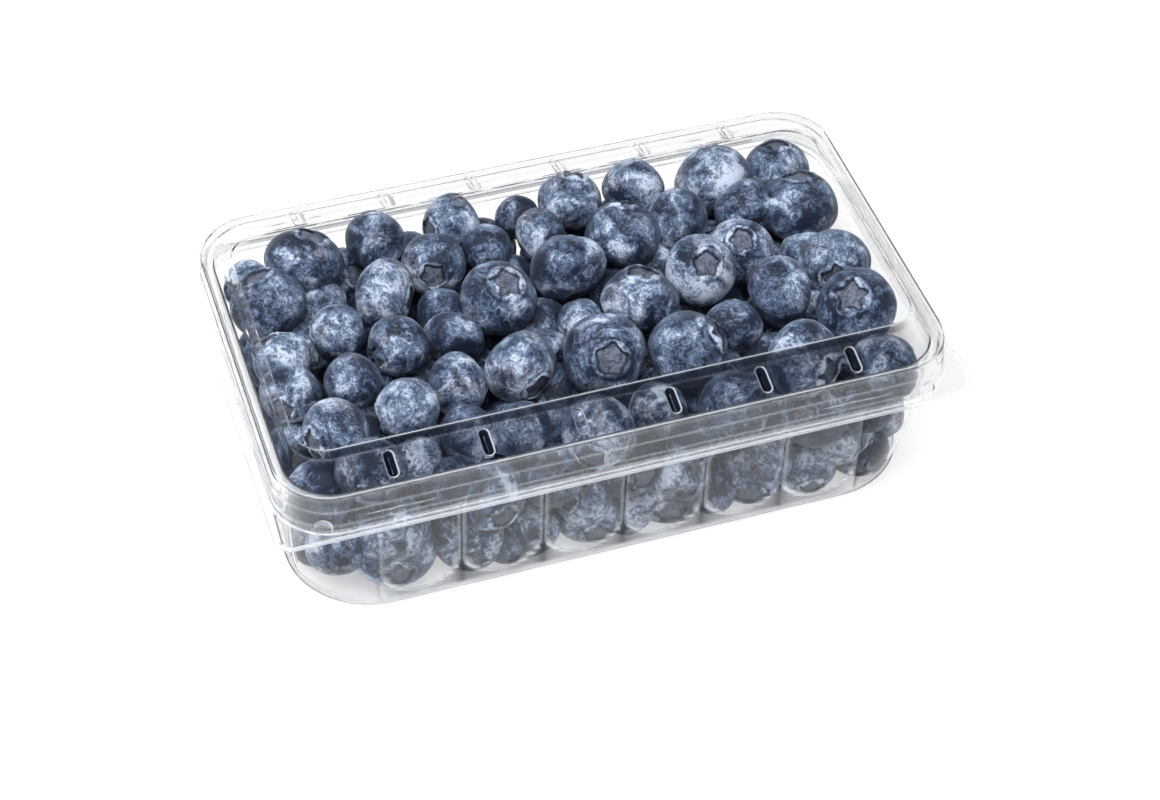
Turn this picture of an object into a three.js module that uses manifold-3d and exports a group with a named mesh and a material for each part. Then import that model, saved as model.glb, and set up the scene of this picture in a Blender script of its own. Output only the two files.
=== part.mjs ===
// A clear hinged berry punnet: a fluted tray, its vented lid and the heap of blueberries inside.
// Millimetres, +Z up. The origin is on the floor plane under the middle of the pack,
// +X runs along the long side and -Y is the front. The lid folds at the back edge of the two flanges.

import * as THREE from 'three';
import { mergeVertices } from 'three/addons/utils/BufferGeometryUtils.js';
import Module from 'manifold-3d';

const wasm = await Module();
wasm.setup();

// ---- driving dimensions ----

const SHEET = 0.8;                       // thickness of the formed plastic
const GAP = 0.3;                         // clearance between the tray and the lid

const RIM = { x: 92.2, y: 54.8, r: 15, z: 52.1 };          // half length, half depth, corner and height of the lid's top ring
const FLANGE = { left: 3.4, right: 4.4, outY: 2.8, r: 8, z: 39.3 };   // overhangs past the ring, corner, tray flange's top
const PANEL = { inX: 7.0, inY: 12.7, r: 9, z: 56.3 };      // raised middle of the lid
const PANEL_STEP = { run: 1.6, drop: 2.1 };                // small step round the panel
const RING_WIDTH = { x: 4.4, y: 2.0 };                     // flat ring between the skirt and the slope
const SKIRT_DRAFT = 0.9;                                   // how much wider the skirt is at its foot

const WALL = { topIn: 3.0, footIn: 3.1, topR: 15, footR: 24, footZ: 3.2 };   // tray wall, measured in from the ring
const FOOT = { in: 3.8, bulge: 3.0, run: 3.4 };            // rounded edge of the floor
const RIM_LEG_IN = 1.0;                                    // outer leg of the tray's folded rim
const RIM_TOP_Z = 49.9;
const FLUTE = { pitch: 22.7, depth: 1.7, bottomZ: 4.0, curveZ: 15.0, topZ: 33.5, endZ: 37.7 };
const FLUTES_LONG = 6;
const FLUTES_SHORT = 3;

const SLOT = { width: 2.6, long: 7.6, fromEdge: 6.6, pitch: 25.3, count: 6 };
const SNAP = { length: 21, height: 1.4, proud: 0.7, x: 62.5, z: 45.1 };
const TAB = { long: 16.5, deep: 15 };                      // squared front corners of the flanges
const TABS = [{ side: 1, out: 1.1, r: 8 }, { side: -1, out: 0.15, r: 4 }];
const LUG = { x: 83, half: 2.5, height: 4.4, proud: 1.1, turn: 0.35 };   // arched stiffener at the foot of the skirt

const CORE = { in: 12.5, r: 16, bottomZ: 5, topZ: 40.5 };    // block that the berries of the heap are fused on
const HEAP = { floorZ: SHEET + GAP, lowIn: 6.2, topIn: 4.5, r: 19 };   // room for the berries, in from the ring
const BERRY_MEAN = 17.5;
const BERRY_SPREAD = 2.2;
const OBLATE = 0.86;                                       // height of a berry over its width

// The berries of the top layer, row by row from the back: middle x, y, z and width.
const TOP_BERRIES = [
  [[-80, 38, 40.5, 15], [-64, 39, 45.5, 22], [-43, 42, 44.5, 17], [-21, 41, 45.5, 19],
    [-1, 43, 41.5, 13], [14, 41, 45.5, 19], [33, 41, 45.5, 18], [57, 39, 45.5, 23], [77, 40, 42.5, 19]],
  [[-78, 27, 43.5, 21], [-62, 30, 35.5, 17], [-30, 28, 44.5, 18], [-14, 30, 44.5, 14],
    [2, 30, 44.5, 17], [24, 24, 44.5, 22], [41, 26, 44.5, 18], [61, 24, 44.5, 18], [79, 21, 44.5, 23]],
  [[-78, 8, 40.5, 16], [-62, 10, 44.5, 15], [-46, 21, 44.5, 20], [-32, 13, 40.5, 14],
    [-17, 10, 44.5, 21], [5, 16, 44.5, 22], [32, 18, 35.5, 14], [55, 12, 40.5, 19], [74, 8, 36.5, 17]],
  [[-79, -5, 40.5, 17], [-63, -9, 44.5, 15], [-48, 0, 44.5, 17], [-32, 2, 40.5, 17],
    [-8, -5, 35.5, 14], [4, 0, 38.5, 13], [20, -2, 44.5, 21], [40, 4, 44.5, 20], [77, -4, 44.5, 20]],
  [[-72, -26, 44.5, 19], [-52, -23, 44.5, 16], [-36, -15, 40.5, 18], [-19, -17, 44.5, 21],
    [4, -19, 44.5, 23], [26, -24, 44.5, 21], [43, -15, 39.5, 16], [58, -10, 44.5, 20], [76, -22, 44.5, 22]],
  [[-66, -38, 40.5, 19], [-53, -37, 39.5, 13], [-37, -29, 35.5, 17], [-24, -35, 39.5, 16],
    [-5, -41, 39.5, 20], [14, -35, 35.5, 16], [33, -46, 37.5, 19], [55, -36, 43.5, 22], [77, -42, 39.5, 19]],
];

// ---- outlines ----

const flutesLongHalf = FLUTES_LONG * FLUTE.pitch / 2;
const flutesShortHalf = FLUTES_SHORT * FLUTE.pitch / 2;

// How far a rounded rectangle's long edge falls back at a place `along` the edge, inside the corner's arc.
function cornerFall(along, half, r) {
  const into = Math.max(0, Math.abs(along) - (half - r));
  return r - Math.sqrt(r * r - into * into);
}

// A closed counter-clockwise rounded rectangle. Every outline made with the same step counts has the
// same number of points, so any two of them can be joined by a band of quads.
function outline(hx, hy, r, stepsLong, stepsShort, stepsCorner) {
  const endX = Math.min(flutesLongHalf, hx - 1);
  const endY = Math.min(flutesShortHalf, hy - 1);
  const atX = (x) => new THREE.Vector2(x, -(hy - cornerFall(x, hx, r)));
  const atY = (y) => new THREE.Vector2(hx - cornerFall(y, hy, r), y);
  const half = [];
  for (let i = 0; i <= stepsLong; i++) half.push(atX(-endX + 2 * endX * i / stepsLong));
  const from = atX(endX);
  const to = atY(-endY);
  const middle = new THREE.Vector2(hx - r, -hy + r);
  const a0 = Math.atan2(from.y - middle.y, from.x - middle.x);
  const a1 = Math.atan2(to.y - middle.y, to.x - middle.x);
  for (let i = 1; i <= stepsCorner; i++) {
    const a = a0 + (a1 - a0) * i / (stepsCorner + 1);
    const reach = cornerReach(a, r, from, to, middle);
    half.push(new THREE.Vector2(middle.x + reach * Math.cos(a), middle.y + reach * Math.sin(a)));
  }
  for (let i = 0; i <= stepsShort; i++) half.push(atY(-endY + 2 * endY * i / stepsShort));
  for (let i = 1; i <= stepsCorner; i++) {
    const p = half[stepsLong + stepsCorner + 1 - i];
    half.push(new THREE.Vector2(p.x, -p.y));
  }
  return half.concat(half.map((p) => new THREE.Vector2(-p.x, -p.y)));
}

// Distance from a corner's middle to the outline in direction a: the arc, or the straight edge beside it.
function cornerReach(a, r, from, to, middle) {
  if (a < -Math.PI / 2) return (middle.y - from.y) / -Math.sin(a);
  if (a > 0) return (to.x - middle.x) / Math.cos(a);
  return r;
}

// ---- shells ----

// Joins a stack of equal-length rings of 3-D points into one closed body, capped at both ends.
function loft(rings) {
  const count = rings[0].length;
  const positions = [];
  const index = [];
  const capMiddle = (ring) => ring.reduce((sum, p) => sum.add(p), new THREE.Vector3()).divideScalar(count);
  const points = [capMiddle(rings[0]), ...rings.flat(), capMiddle(rings.at(-1))];
  points.forEach((p) => positions.push(p.x, p.y, p.z));
  const last = points.length - 1;
  const at = (ring, i) => 1 + ring * count + (i % count);
  for (let i = 0; i < count; i++) {
    index.push(0, at(0, i + 1), at(0, i));
    index.push(last, at(rings.length - 1, i), at(rings.length - 1, i + 1));
  }
  for (let k = 0; k + 1 < rings.length; k++) {
    for (let i = 0; i < count; i++) {
      index.push(at(k, i), at(k, i + 1), at(k + 1, i + 1));
      index.push(at(k, i), at(k + 1, i + 1), at(k + 1, i));
    }
  }
  const geometry = new THREE.BufferGeometry();
  geometry.setAttribute('position', new THREE.Float32BufferAttribute(positions, 3));
  geometry.setIndex(index);
  return geometry;
}

function weld(geometry) {
  const bare = geometry.clone();
  bare.deleteAttribute('normal');
  bare.deleteAttribute('uv');
  return mergeVertices(bare, 1e-4);
}

function solid(geometry) {
  const welded = weld(geometry);
  const mesh = new wasm.Mesh({
    numProp: 3,
    vertProperties: new Float32Array(welded.attributes.position.array),
    triVerts: new Uint32Array(welded.index.array),
  });
  mesh.merge();
  return new wasm.Manifold(mesh);
}

function geometryOf(manifold) {
  const mesh = manifold.getMesh();
  const geometry = new THREE.BufferGeometry();
  geometry.setAttribute('position', new THREE.Float32BufferAttribute(mesh.vertProperties, 3));
  geometry.setIndex(new THREE.Uint32BufferAttribute(mesh.triVerts, 1));
  return geometry;
}

// ---- tray ----

const TRAY_STEPS = [FLUTES_LONG * 4, FLUTES_SHORT * 4, 4];

// Bulge of the flutes at a place along a side and a height: half a cylinder with a rounded lower end.
function fluteBulge(along, z) {
  const cell = along / FLUTE.pitch;
  const u = 2 * (cell - Math.floor(cell)) - 1;
  const below = Math.max(0, FLUTE.curveZ - z) / (FLUTE.curveZ - FLUTE.bottomZ);
  return Math.sqrt(Math.max(0, 1 - u * u - below * below));
}

// One ring of the tray's wall: `skin` is 0 on the outside and the sheet's thickness on the inside.
function wallRing(z, skin) {
  const t = THREE.MathUtils.clamp((z - WALL.footZ) / (FLANGE.z - WALL.footZ), 0, 1);
  const inset = THREE.MathUtils.lerp(WALL.footIn, WALL.topIn, t) + skin;
  const r = THREE.MathUtils.lerp(WALL.footR, WALL.topR, t) - skin;
  return outline(RIM.x - inset, RIM.y - inset, r, ...TRAY_STEPS).map((p) => {
    const onLong = Math.abs(p.x) < flutesLongHalf + 0.01;
    const onShort = Math.abs(p.y) < flutesShortHalf + 0.01;
    const along = onLong ? p.x : p.y + FLUTE.pitch / 2;
    const pull = FLUTE.depth * (onLong || onShort ? 1 - fluteBulge(along, z) : cornerPull(z));
    const x = onLong ? p.x : p.x - Math.sign(p.x) * pull;
    const y = onShort ? p.y : p.y - Math.sign(p.y) * pull;
    return new THREE.Vector3(x, y, z);
  });
}

// The corners have no flutes, but their foot draws in as the flutes' feet do.
function cornerPull(z) {
  const below = Math.max(0, FLUTE.curveZ - z) / (FLUTE.curveZ - FLUTE.bottomZ);
  return 0.6 * Math.min(1, below * below);
}

function trayRing(inset, r, z) {
  return outline(RIM.x - inset, RIM.y - inset, r, ...TRAY_STEPS).map((p) => new THREE.Vector3(p.x, p.y, z));
}

// The edge of a flange, which sticks out further at the right end than at the left.
function flangeRing(z, steps) {
  const hx = RIM.x + (FLANGE.left + FLANGE.right) / 2;
  const shift = (FLANGE.right - FLANGE.left) / 2;
  return outline(hx, RIM.y + FLANGE.outY, FLANGE.r, ...steps).map((p) => new THREE.Vector3(p.x + shift, p.y, z));
}

function traySolid() {
  const levels = [FLUTE.bottomZ, 6, 9.5, FLUTE.curveZ, FLUTE.topZ];
  const under = FLANGE.z - SHEET;
  const leg = RIM_LEG_IN;
  return loft([
    trayRing(FOOT.in + FOOT.run, WALL.footR - 3.4, 0),
    trayRing(FOOT.in + 1.0, WALL.footR - 1, 0.9),
    trayRing(FOOT.in, WALL.footR, FOOT.bulge),
    ...levels.map((z) => wallRing(z, 0)),
    trayRing(WALL.topIn, WALL.topR, FLUTE.endZ),
    trayRing(WALL.topIn - 0.2, WALL.topR, RIM_TOP_Z - SHEET),
    trayRing(leg + SHEET + 0.3, RIM.r - 2, RIM_TOP_Z - SHEET),
    trayRing(leg + SHEET - 0.3, RIM.r - 1, under),
    flangeRing(under, TRAY_STEPS),
    flangeRing(FLANGE.z, TRAY_STEPS),
    trayRing(leg - 0.3, RIM.r - 1, FLANGE.z),
    trayRing(leg + 0.3, RIM.r - 1, RIM_TOP_Z - 0.6),
    trayRing(leg + 0.9, RIM.r - 2, RIM_TOP_Z),
    trayRing(WALL.topIn + SHEET - 0.6, WALL.topR - SHEET, RIM_TOP_Z),
    trayRing(WALL.topIn + SHEET, WALL.topR - SHEET, RIM_TOP_Z - 0.8),
    trayRing(WALL.topIn + SHEET, WALL.topR - SHEET, FLUTE.endZ),
    ...levels.toReversed().map((z) => wallRing(z, SHEET)),
    trayRing(FOOT.in + SHEET + 1.2, WALL.footR - 2, FOOT.bulge - 0.6),
    trayRing(FOOT.in + SHEET + FOOT.run, WALL.footR - 4.4, SHEET),
  ]);
}

// ---- lid ----

const LID_STEPS = [8, 4, 4];

function lidRing(insetX, insetY, r, z) {
  return outline(RIM.x - insetX, RIM.y - insetY, r, ...LID_STEPS).map((p) => new THREE.Vector3(p.x, p.y, z));
}

function lidShell() {
  const footZ = PANEL.z - PANEL_STEP.drop;
  const underZ = FLANGE.z + GAP;
  const topZ = underZ + SHEET;
  const skirtIn = SHEET;
  return loft([
    lidRing(PANEL.inX + 0.4, PANEL.inY + 0.4, PANEL.r - 0.4, PANEL.z - SHEET),
    lidRing(PANEL.inX - PANEL_STEP.run + 0.8, PANEL.inY - PANEL_STEP.run + 0.8, PANEL.r, footZ - SHEET),
    lidRing(RING_WIDTH.x + 0.4, RING_WIDTH.y + 0.4, RIM.r - 3, RIM.z - SHEET),
    lidRing(skirtIn + 0.9, skirtIn + 0.9, RIM.r - 1.7, RIM.z - SHEET),
    lidRing(skirtIn, skirtIn, RIM.r - 0.8, RIM.z - SHEET - 0.9),
    lidRing(skirtIn - SKIRT_DRAFT, skirtIn - SKIRT_DRAFT, RIM.r, topZ),
    lidRing(skirtIn - SKIRT_DRAFT, skirtIn - SKIRT_DRAFT, RIM.r, underZ),
    flangeRing(underZ, LID_STEPS),
    flangeRing(topZ, LID_STEPS),
    lidRing(-SKIRT_DRAFT, -SKIRT_DRAFT, RIM.r + 0.9, topZ),
    lidRing(0, 0, RIM.r, RIM.z - 0.9),
    lidRing(0.9, 0.9, RIM.r - 0.9, RIM.z),
    lidRing(RING_WIDTH.x, RING_WIDTH.y, RIM.r - 3, RIM.z),
    lidRing(PANEL.inX - PANEL_STEP.run, PANEL.inY - PANEL_STEP.run, PANEL.r + 0.8, footZ),
    lidRing(PANEL.inX, PANEL.inY, PANEL.r, PANEL.z),
  ]);
}

// A vent slot: an upright stadium long enough to pass through the sloping border.
function slotCutter(x, side) {
  const w = SLOT.width / 2;
  const l = SLOT.long / 2;
  const shape = new THREE.Shape();
  shape.absarc(0, l - w, w, 0, Math.PI);
  shape.absarc(0, -l + w, w, Math.PI, 2 * Math.PI);
  const geometry = new THREE.ExtrudeGeometry(shape, { depth: 12, bevelEnabled: false, curveSegments: 3 });
  geometry.translate(x, side * (RIM.y - SLOT.fromEdge), RIM.z - 5);
  return solid(geometry);
}

// A long low swelling on the skirt that snaps over the tray's rim.
function snapRidge(x, side) {
  const geometry = new THREE.SphereGeometry(1, 10, 4);
  geometry.rotateZ(Math.PI / 2);
  geometry.scale(SNAP.length / 2, SNAP.proud + 0.4, SNAP.height / 2);
  geometry.translate(x, side * (RIM.y + SKIRT_DRAFT * 0.55 - 0.1), SNAP.z);
  return solid(geometry);
}

// A front corner of a flange, squared off and pulled out a little as a thumb tab.
function cornerTab({ side, out, r }, z, thickness) {
  const hx = RIM.x + (side > 0 ? FLANGE.right : FLANGE.left) + out;
  const hy = RIM.y + FLANGE.outY;
  const shape = new THREE.Shape();
  shape.moveTo(hx - TAB.deep, hy - 0.4);
  shape.lineTo(hx - r - 1, hy);
  shape.absarc(hx - r, hy - r, r, Math.PI / 2, 0, true);
  shape.lineTo(hx, hy - TAB.long + out);
  shape.lineTo(hx - out - 0.4, hy - TAB.long);
  shape.lineTo(hx - out - 1.6, hy - TAB.long + 4);
  const geometry = new THREE.ExtrudeGeometry(shape, { depth: thickness, bevelEnabled: false, curveSegments: 5 });
  return solid(geometry).scale([side, -1, 1]).translate([0, 0, z]);
}

// An arched lug that stiffens the lid's skirt near a front corner.
function lug(side) {
  const w = LUG.half;
  const shape = new THREE.Shape();
  shape.moveTo(-w, 0);
  shape.lineTo(w, 0);
  shape.lineTo(w, LUG.height - w);
  shape.absarc(0, LUG.height - w, w, 0, Math.PI);
  const geometry = new THREE.ExtrudeGeometry(shape, { depth: 2.4, bevelEnabled: false, curveSegments: 5 });
  geometry.rotateX(Math.PI / 2);
  geometry.rotateZ(side * LUG.turn);
  const y = -(RIM.y + SKIRT_DRAFT - cornerFall(LUG.x, RIM.x + SKIRT_DRAFT, RIM.r)) - LUG.proud + 2.4;
  geometry.translate(side * LUG.x, y, FLANGE.z + GAP + SHEET - 0.3);
  return solid(geometry);
}

function lidSolid() {
  let lid = solid(lidShell());
  for (const side of [-1, 1]) {
    for (let i = 0; i < SLOT.count; i++) {
      lid = lid.subtract(slotCutter((i - (SLOT.count - 1) / 2) * SLOT.pitch, side));
    }
    for (const x of [-SNAP.x, SNAP.x]) lid = lid.add(snapRidge(x, side));
    lid = lid.add(lug(side));
  }
  for (const tab of TABS) lid = lid.add(cornerTab(tab, FLANGE.z + GAP, SHEET));
  return geometryOf(lid);
}

function trayWithTabs() {
  let tray = solid(traySolid());
  for (const tab of TABS) tray = tray.add(cornerTab(tab, FLANGE.z - SHEET, SHEET));
  return geometryOf(tray);
}

// ---- blueberries ----

function seededRandom(seed) {
  let state = seed;
  return () => {
    state = (state * 1664525 + 1013904223) % 4294967296;
    return state / 4294967296;
  };
}

// Height of the lid's underside, less the clearance, at a distance in from the ring's outline.
function lidUnder(inset) {
  const footZ = PANEL.z - PANEL_STEP.drop;
  if (inset > PANEL.inY) return PANEL.z - SHEET - GAP;
  const t = THREE.MathUtils.clamp(inset / (PANEL.inY - PANEL_STEP.run), 0, 1);
  return THREE.MathUtils.lerp(RIM.z, footZ, t) - SHEET - GAP;
}

// Moves a berry in from the tray's walls and down from the lid, as far as its size needs.
function settle(x, y, z, width) {
  const reach = width / 2;
  const above = THREE.MathUtils.clamp((z - FLUTE.topZ) / (FLUTE.endZ + 2 - FLUTE.topZ), 0, 1);
  const inset = THREE.MathUtils.lerp(HEAP.lowIn, HEAP.topIn, above) + reach;
  const hx = RIM.x - inset;
  const hy = RIM.y - inset;
  const r = Math.max(0, HEAP.r - reach);
  const p = new THREE.Vector2(THREE.MathUtils.clamp(x, -hx, hx), THREE.MathUtils.clamp(y, -hy, hy));
  const corner = new THREE.Vector2(Math.sign(x) * (hx - r), Math.sign(y) * (hy - r));
  const out = p.clone().sub(corner);
  if (out.x * corner.x > 0 && out.y * corner.y > 0 && out.length() > r) p.copy(corner.add(out.setLength(r)));
  const fromEdge = Math.min(RIM.y - Math.abs(p.y), RIM.x - Math.abs(p.x) + PANEL.inY - PANEL.inX);
  const top = Math.min(lidUnder(fromEdge) - reach * 0.98, lidUnder(fromEdge - reach * 0.6) - reach * 0.78);
  return [p.x, p.y, Math.min(z, top)];
}

function berry(x, y, z, width, random, geometry) {
  geometry.scale(width / 2, width / 2, width / 2 * OBLATE);
  geometry.rotateX((random() - 0.5) * 1.2);
  geometry.rotateZ(random() * Math.PI);
  geometry.translate(...settle(x, y, z, width));
  return solid(geometry);
}

// Berries that stand against the four walls in staggered tiers under the top layer.
function wallBerries(random) {
  const places = [];
  const tiers = 2;
  for (let tier = 0; tier < tiers; tier++) {
    const z = HEAP.floorZ + BERRY_MEAN * (0.5 + 0.84 * tier);
    const stagger = tier % 2 ? 0.5 : 0;
    const side = (count, place) => {
      for (let i = 0; i < count; i++) places.push(place((i - (count - 1) / 2 + stagger - 0.25) * BERRY_MEAN, z));
    };
    const edge = HEAP.lowIn + BERRY_MEAN / 2;
    for (const s of [-1, 1]) {
      side(9, (a, h) => [a, s * (RIM.y - edge), h]);
      side(4, (a, h) => [s * (RIM.x - edge), a, h]);
    }
  }
  return places.map(([x, y, z]) => [x, y, z, BERRY_MEAN + (random() - 0.5) * BERRY_SPREAD]);
}

function coreBlock() {
  const ring = (inset, z) => outline(RIM.x - inset, RIM.y - inset, CORE.r, 3, 2, 2)
    .map((p) => new THREE.Vector3(p.x, p.y, z));
  return loft([
    ring(CORE.in + 3, CORE.bottomZ),
    ring(CORE.in, CORE.bottomZ + 4),
    ring(CORE.in, CORE.topZ - 5),
    ring(CORE.in + 4, CORE.topZ),
  ]);
}

function heapGeometry() {
  const random = seededRandom(7);
  let heap = solid(coreBlock());
  for (const [x, y, z, width] of TOP_BERRIES.flat()) {
    const ball = new THREE.SphereGeometry(1.02, 8, 4);
    ball.rotateX(Math.PI / 2);
    heap = heap.add(berry(x, y, z, width, random, ball));
  }
  for (const [x, y, z, width] of wallBerries(random)) {
    heap = heap.add(berry(x, y, z, width, random, new THREE.IcosahedronGeometry(1.06, 0)));
  }
  return geometryOf(heap);
}

// ---- scene graph ----

const clearPlastic = () => new THREE.MeshStandardMaterial({
  color: 0xe9eef0, roughness: 0.08, metalness: 0, transparent: true, opacity: 0.3,
});
const berrySkin = new THREE.MeshStandardMaterial({ color: 0x4a5d84, roughness: 0.6, metalness: 0 });

function named(name, geometry, material) {
  geometry.computeVertexNormals();
  const mesh = new THREE.Mesh(geometry, material);
  mesh.name = name;
  return mesh;
}

const punnet = new THREE.Group();
punnet.add(named('tray', trayWithTabs(), clearPlastic()));
punnet.add(named('lid', lidSolid(), clearPlastic()));
punnet.add(named('blueberries', heapGeometry(), berrySkin));

export default punnet;
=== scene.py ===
"""A shut, clear, hinged punnet of blueberries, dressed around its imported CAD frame."""

import itertools
import math
import random

import bmesh
import bpy
from mathutils import Euler, Matrix, Vector, noise
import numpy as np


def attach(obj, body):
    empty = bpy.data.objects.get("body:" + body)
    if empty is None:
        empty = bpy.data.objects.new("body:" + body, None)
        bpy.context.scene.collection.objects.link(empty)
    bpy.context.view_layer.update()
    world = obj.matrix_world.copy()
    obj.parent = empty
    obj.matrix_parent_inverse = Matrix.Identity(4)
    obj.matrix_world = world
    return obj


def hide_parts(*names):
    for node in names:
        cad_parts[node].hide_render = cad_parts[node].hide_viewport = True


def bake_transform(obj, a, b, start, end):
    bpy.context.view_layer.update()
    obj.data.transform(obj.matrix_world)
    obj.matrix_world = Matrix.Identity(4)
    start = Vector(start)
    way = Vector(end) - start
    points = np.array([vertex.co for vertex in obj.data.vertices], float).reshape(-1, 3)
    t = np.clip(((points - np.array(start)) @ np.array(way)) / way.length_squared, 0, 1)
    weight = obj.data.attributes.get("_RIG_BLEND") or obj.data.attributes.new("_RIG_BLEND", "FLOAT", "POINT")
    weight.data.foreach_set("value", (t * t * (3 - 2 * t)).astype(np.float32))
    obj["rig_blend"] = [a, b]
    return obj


bl_info = {
    "name": "Blueberry Punnet",
    "version": (1, 0, 0),
    "blender": (4, 5, 0),
    "location": "View3D > Sidebar > Punnet",
    "description": "Builds a clear hinged punnet of blueberries and the studio it stands in",
    "category": "Object",
}

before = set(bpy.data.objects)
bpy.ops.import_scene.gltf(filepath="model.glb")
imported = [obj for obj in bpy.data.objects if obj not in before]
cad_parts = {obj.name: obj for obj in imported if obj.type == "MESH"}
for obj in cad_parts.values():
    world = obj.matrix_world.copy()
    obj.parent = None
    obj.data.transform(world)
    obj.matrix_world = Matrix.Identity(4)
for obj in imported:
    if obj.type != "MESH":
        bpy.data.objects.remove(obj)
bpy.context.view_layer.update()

MM = 0.001

# The pack, in millimetres from the middle of its floor.
RIM_X = 92.2
RIM_Y = 54.8
RIM_R = 15.0
RIM_Z = 52.1
PANEL_Z = 56.3
SKIRT_DRAFT = 0.9
TRAY_FLANGE_Z = 39.3
LID_FLANGE_Z = 40.4
FLANGE_LEFT = 3.4
FLANGE_RIGHT = 4.4
FLANGE_FRONT = 2.8
TAB_FRONT_Y = -41.0
RIM_TOP_Z = 49.9
FLUTES_LONG = 6
FLUTES_SHORT = 3
FLUTE_PITCH = 22.7
FLUTE_BOTTOM_Z = 4.0
FLUTE_CURVE_Z = 15.0
FLUTE_TOP_Z = 33.5
FLUTE_END_Z = 37.7
SLOT_COUNT = 6
SLOT_PITCH = 25.3
SLOT_HALF = 3.8
SLOT_FROM_EDGE = 6.6
OPEN_SLOT = 2
LUG_X = 83.0
RIDGE_X = 62.5
RIDGE_Z = 44.9
HINGE_Y = 57.8
HINGE_Z = 39.45
FOLD_IN = 0.35

# Heights of the loops that the tray's wall and the lid's skirt are drawn through.
WALL_LEVELS = (
    3.4, 4.0, 4.2, 4.5, 5.0, 5.7, 6.6, 7.8, 9.4, 11.3, 13.3, FLUTE_CURVE_Z, 21.0, 27.0, FLUTE_TOP_Z)
SKIRT_LEVELS = (
    51.2, 50.6, 47.9, 47.2, 46.9, 46.5, 46.0, 45.5, RIDGE_Z, 44.3, 43.8, 43.2, 42.8, 42.5, 42.1, 41.3)
SKIRT_STEPS = (46.9, 42.5)

# The top layer of berries: middle x, y, z, width and height over width, then where the crown faces
# as a turn about the upright and a lean away from it, in degrees.
TOP_BERRIES = (
    (-80, 38, 40.5, 15, 0.9, 200, 70), (-64, 39, 45.5, 22, 0.8, 40, 30),
    (-43, 42, 44.5, 17, 0.95, 30, 100), (-21, 41, 45.5, 19, 0.8, 190, 80),
    (-1, 43, 41.5, 13, 0.85, 75, 110), (14, 41, 45.5, 19, 0.85, 60, 30), (33, 41, 45.5, 18, 0.9, 60, 75),
    (57, 39, 45.5, 23, 0.85, 100, 60), (77, 40, 42.5, 19, 0.85, 90, 20),
    (-78, 27, 43.5, 21, 0.9, 120, 28), (-62, 30, 35.5, 17, 0.85, 0, 90),
    (-30, 28, 44.5, 18, 0.95, 252, 70), (-14, 30, 44.5, 14, 1.0, 80, 85), (2, 30, 44.5, 17, 0.8, 10, 75),
    (24, 24, 44.5, 22, 0.85, 60, 35), (41, 26, 44.5, 18, 0.9, 110, 100), (61, 24, 44.5, 18, 0.8, 90, 95),
    (79, 21, 44.5, 23, 0.85, 80, 25), (-78, 8, 40.5, 16, 0.95, 130, 40),
    (-62, 10, 44.5, 15, 1.0, 170, 100), (-46, 21, 44.5, 20, 0.8, 330, 95),
    (-32, 13, 40.5, 14, 0.9, 40, 80), (-17, 10, 44.5, 21, 0.95, 300, 22), (5, 16, 44.5, 22, 0.8, 90, 60),
    (32, 18, 35.5, 14, 0.9, 0, 80), (55, 12, 40.5, 19, 0.9, 250, 22), (74, 8, 36.5, 17, 0.85, 20, 90),
    (-79, -5, 40.5, 17, 0.85, 235, 85), (-63, -9, 44.5, 15, 1.05, 100, 95),
    (-48, 0, 44.5, 17, 0.95, 200, 90), (-32, 2, 40.5, 17, 0.8, 60, 80), (-8, -5, 35.5, 14, 0.85, 90, 70),
    (4, 0, 38.5, 13, 1.0, 110, 90), (20, -2, 44.5, 21, 0.85, 60, 25), (40, 4, 44.5, 20, 0.95, 265, 35),
    (77, -4, 44.5, 20, 0.85, 250, 80), (-72, -26, 44.5, 19, 0.85, 200, 85),
    (-52, -23, 44.5, 16, 1.1, 180, 100), (-36, -15, 40.5, 18, 0.85, 0, 95),
    (-19, -17, 44.5, 21, 0.8, 290, 100), (4, -19, 44.5, 23, 0.92, 265, 52),
    (26, -24, 44.5, 21, 1.0, 345, 60), (43, -15, 39.5, 16, 0.95, 60, 60),
    (58, -10, 44.5, 20, 0.9, 160, 95), (76, -22, 44.5, 22, 0.85, 215, 30),
    (-66, -38, 40.5, 19, 0.85, 260, 90), (-53, -37, 39.5, 13, 0.9, 200, 62),
    (-37, -29, 35.5, 17, 0.9, 0, 80), (-24, -35, 39.5, 16, 0.95, 130, 80),
    (-5, -41, 39.5, 20, 0.95, 240, 95), (14, -35, 35.5, 16, 0.95, 60, 90),
    (33, -46, 37.5, 19, 1.0, 100, 95), (55, -36, 43.5, 22, 0.85, 300, 80),
    (77, -42, 39.5, 19, 0.9, 30, 80),
)

# The berries that stand against the front wall, in the same terms.
FRONT_BERRIES = (
    (-80, -42, 17, 17, 0.95, 90, 100), (-62, -44, 22, 21, 0.85, 90, 100),
    (-62, -44, 10, 23, 0.8, 262, 98), (-35, -42, 25, 20, 0.85, 280, 95), (-41, -44, 10, 21, 0.8, 258, 96),
    (-24, -46, 9, 17, 0.85, 90, 90), (-9, -45, 17, 16, 0.9, 200, 60), (-7, -46, 9, 19, 0.8, 266, 100),
    (3, -46, 9, 16, 0.9, 80, 90), (17, -44, 18, 17, 0.9, 80, 90), (15, -46, 9, 21, 0.8, 258, 98),
    (42, -46, 15, 17, 0.85, 60, 95), (39, -46, 10, 21, 0.8, 252, 100), (67, -46, 17, 18, 0.8, 300, 110),
    (56, -46, 9, 17, 0.85, 265, 108), (72, -46, 9, 18, 0.8, 252, 100), (81, -38, 18, 16, 0.9, 10, 90),
)


# ---- settings ----


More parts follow.
